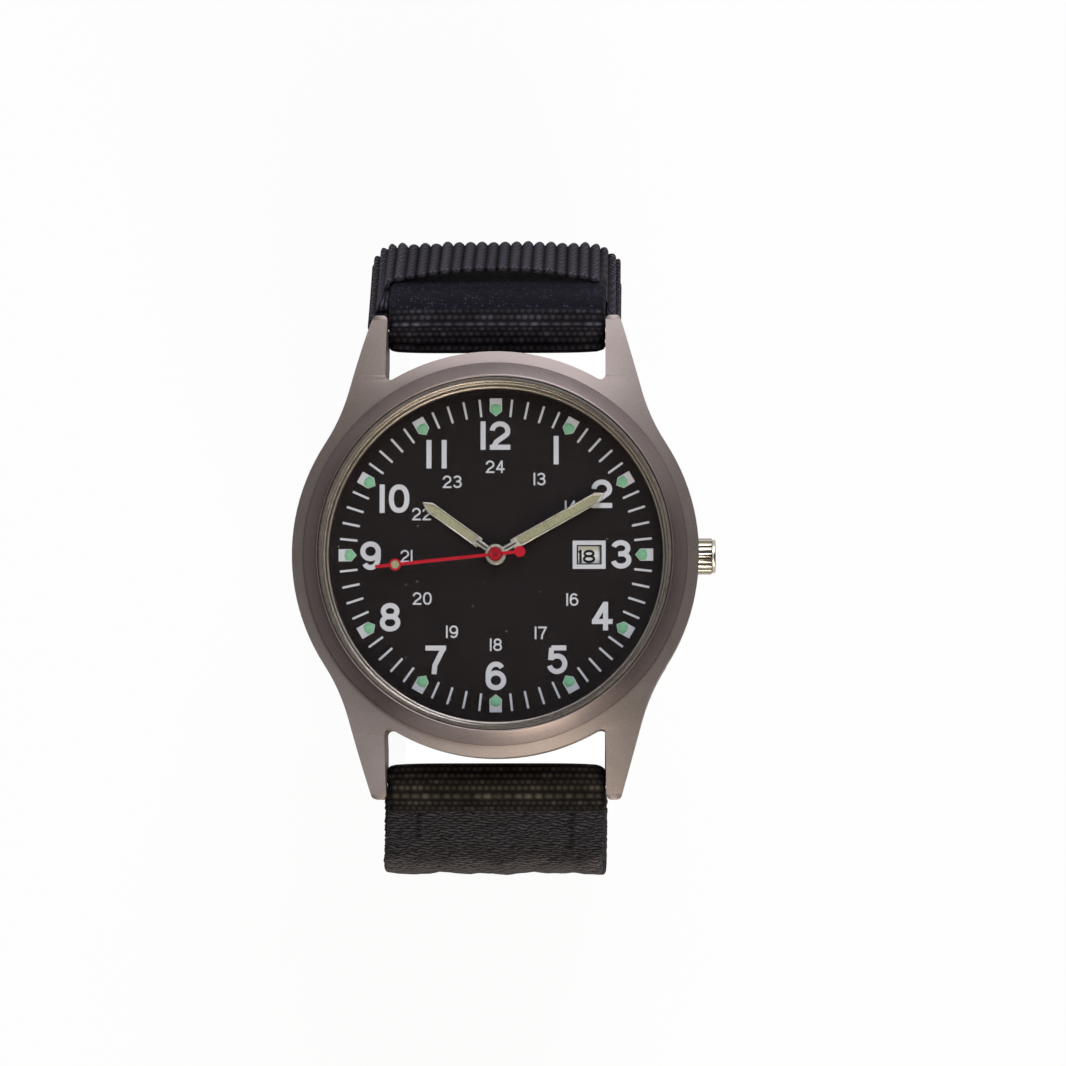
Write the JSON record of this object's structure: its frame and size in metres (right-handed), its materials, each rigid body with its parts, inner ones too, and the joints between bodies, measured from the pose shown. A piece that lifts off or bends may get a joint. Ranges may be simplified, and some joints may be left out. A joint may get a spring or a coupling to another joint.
{
  "type": "wristwatch",
  "caption": "Round field watch with hour, minute and seconds hands, date window, side crown and a closed nylon strap that stands on its loop.",
  "frame": {"origin": "on the dial's axis, at the flat underside of the closed strap", "axes": "+Z towards the viewer of the dial, +Y towards 12 o'clock, +X towards the crown"},
  "size_m": [0.0423, 0.0664, 0.0549],
  "materials": {
    "case_metal": "bead blasted",
    "bezel_metal": "fine circular brushing",
    "crystal_glass": "polished",
    "clear_gasket": "translucent",
    "rehaut_metal": "satin",
    "dial_black": "matt with printed numerals",
    "mint_lume": "raised luminous paint",
    "hand_metal": "polished",
    "hand_lume": "luminous paint",
    "seconds_red": "satin",
    "polished_steel": "polished",
    "spring_steel": "satin",
    "strap_nylon": "woven",
    "closure_nylon": "hook and pile",
    "keeper_nylon": "ribbed",
    "brass": "satin",
    "movement_steel": "satin",
    "black_plastic": "moulded",
    "white_plastic": "moulded",
    "board_green": "printed circuit board",
    "copper_wire": "wound enamelled wire"
  },
  "bodies": {
    "case": {"case_middle": "case_metal", "bezel": "bezel_metal", "crystal": "crystal_glass", "crystal_gasket": "clear_gasket", "rehaut_ring": "rehaut_metal", "dial": "dial_black", "hour_pips": "mint_lume", "case_back": "case_metal", "pendant_tube": "movement_steel", "movement_ring": "black_plastic", "main_plate": "brass", "train_bridge": "movement_steel", "movement_screws": "movement_steel", "battery": "polished_steel", "battery_clamp": "spring_steel", "circuit_board": "board_green", "quartz_can": "movement_steel", "stator": "movement_steel", "coil_core": "movement_steel", "coil_winding": "copper_wire", "date_disc_guard": "movement_steel", "date_jumper": "spring_steel", "upper_bar_tube": "spring_steel", "lower_bar_tube": "spring_steel", "bar_springs": "spring_steel"},
    "strap_long": {"strap_long": "strap_nylon", "pile_patch": "closure_nylon"},
    "strap_short": {"strap_short": "strap_nylon", "hook_patch": "closure_nylon"},
    "keeper": {"strap_keeper": "keeper_nylon"},
    "seconds": {"seconds_wheel": "brass", "seconds_hand": "seconds_red", "seconds_hand_lume": "hand_lume"},
    "minutes": {"center_wheel": "brass", "cannon_pinion": "movement_steel", "minute_hand": "hand_metal", "minute_hand_lume": "hand_lume"},
    "hours": {"hour_wheel": "brass", "hour_hand": "hand_metal", "hour_hand_lume": "hand_lume"},
    "third": {"third_wheel": "brass"},
    "step": {"step_wheel": "brass"},
    "rotor": {"rotor": "movement_steel"},
    "minute_work": {"minute_wheel": "brass"},
    "setting": {"setting_wheel": "brass"},
    "date_drive": {"date_driving_wheel": "brass"},
    "date_ring": {"date_disc": "white_plastic"},
    "clutch": {"clutch_wheel": "movement_steel"},
    "crown": {"crown": "polished_steel", "stem": "movement_steel", "crown_gasket": "clear_gasket"},
    "lever": {"setting_lever": "spring_steel"},
    "upper_left_pin": {"upper_bar_left_pin": "spring_steel"},
    "upper_right_pin": {"upper_bar_right_pin": "spring_steel"},
    "lower_left_pin": {"lower_bar_left_pin": "spring_steel"},
    "lower_right_pin": {"lower_bar_right_pin": "spring_steel"}
  },
  "joints": [
    {"name": "seconds_turn", "type": "hinge", "parent": "case", "child": "seconds", "pos_m": [0, 0, 0.0513], "axis": [0, 0, -1], "continuous": true},
    {"name": "minutes_turn", "type": "hinge", "parent": "case", "child": "minutes", "pos_m": [0, 0, 0.0513], "axis": [0, 0, -1], "continuous": true},
    {"name": "hours_turn", "type": "hinge", "parent": "case", "child": "hours", "pos_m": [0, 0, 0.0513], "axis": [0, 0, -1], "continuous": true},
    {"name": "third_wheel_turn", "type": "hinge", "parent": "case", "child": "third", "pos_m": [0.0007, 0.00261, 0.049], "axis": [0, 0, -1], "continuous": true},
    {"name": "step_wheel_turn", "type": "hinge", "parent": "case", "child": "step", "pos_m": [0.00075, -0.00278, 0.049], "axis": [0, 0, -1], "continuous": true},
    {"name": "rotor_turn", "type": "hinge", "parent": "case", "child": "rotor", "pos_m": [0.00038, -0.00485, 0.049], "axis": [0, 0, -1], "continuous": true},
    {"name": "minute_wheel_turn", "type": "hinge", "parent": "case", "child": "minute_work", "pos_m": [0.0024, 0, 0.0504], "axis": [0, 0, -1], "continuous": true},
    {"name": "setting_wheel_turn", "type": "hinge", "parent": "case", "child": "setting", "pos_m": [0.0054, 0, 0.0504], "axis": [0, 0, -1], "continuous": true},
    {"name": "date_drive_turn", "type": "hinge", "parent": "case", "child": "date_drive", "pos_m": [-0.00364, 0.0021, 0.05054], "axis": [0, 0, -1], "continuous": true},
    {"name": "date_disc_turn", "type": "hinge", "parent": "case", "child": "date_ring", "pos_m": [0, 0, 0.05054], "axis": [0, 0, -1], "continuous": true},
    {"name": "crown_turn", "type": "hinge", "parent": "case", "child": "clutch", "pos_m": [0.0076, 0, 0.0487], "axis": [1, 0, 0], "continuous": true},
    {"name": "crown_pull", "type": "slide", "parent": "clutch", "child": "crown", "axis": [1, 0, 0], "range_m": [0, 0.0008]},
    {"name": "setting_lever_swing", "type": "hinge", "parent": "case", "child": "lever", "pos_m": [0.0108, 0.0024, 0.0487], "axis": [0, 0, 1], "range_deg": [0, 23.69]},
    {"name": "upper_left_pin_press", "type": "slide", "parent": "case", "child": "upper_left_pin", "axis": [1, 0, 0], "range_m": [0, 0.0011], "stiffness_N_per_m": 1500, "springref_m": -0.001},
    {"name": "upper_right_pin_press", "type": "slide", "parent": "case", "child": "upper_right_pin", "axis": [-1, 0, 0], "range_m": [0, 0.0011], "stiffness_N_per_m": 1500, "springref_m": -0.001},
    {"name": "lower_left_pin_press", "type": "slide", "parent": "case", "child": "lower_left_pin", "axis": [1, 0, 0], "range_m": [0, 0.0011], "stiffness_N_per_m": 1500, "springref_m": -0.001},
    {"name": "lower_right_pin_press", "type": "slide", "parent": "case", "child": "lower_right_pin", "axis": [-1, 0, 0], "range_m": [0, 0.0011], "stiffness_N_per_m": 1500, "springref_m": -0.001},
    {"name": "strap_long_swing", "type": "hinge", "parent": "case", "child": "strap_long", "pos_m": [0, -0.0229, 0.0476], "axis": [-1, 0, 0], "range_deg": [0, 60]},
    {"name": "strap_short_swing", "type": "hinge", "parent": "case", "child": "strap_short", "pos_m": [0, 0.0229, 0.0476], "axis": [-1, 0, 0], "range_deg": [0, 10]},
    {"name": "keeper_slide", "type": "slide", "parent": "strap_short", "child": "keeper", "axis": [0, 0.4066, -0.9136], "range_m": [-0.0003, 0.002]}
  ],
  "couplings": [
    {"joint": "step_wheel_turn", "follows": "seconds_turn", "ratio": -5},
    {"joint": "rotor_turn", "follows": "seconds_turn", "ratio": 30},
    {"joint": "third_wheel_turn", "follows": "seconds_turn", "ratio": -0.13333},
    {"joint": "minutes_turn", "follows": "seconds_turn", "ratio": 0.016667},
    {"joint": "minute_wheel_turn", "follows": "seconds_turn", "ratio": -0.0055556},
    {"joint": "hours_turn", "follows": "seconds_turn", "ratio": 0.0013889},
    {"joint": "setting_wheel_turn", "follows": "seconds_turn", "ratio": 0.0083333},
    {"joint": "date_drive_turn", "follows": "seconds_turn", "ratio": -0.00069444},
    {"joint": "setting_lever_swing", "follows": "crown_pull", "rad_per_m": 516.49}
  ]
}
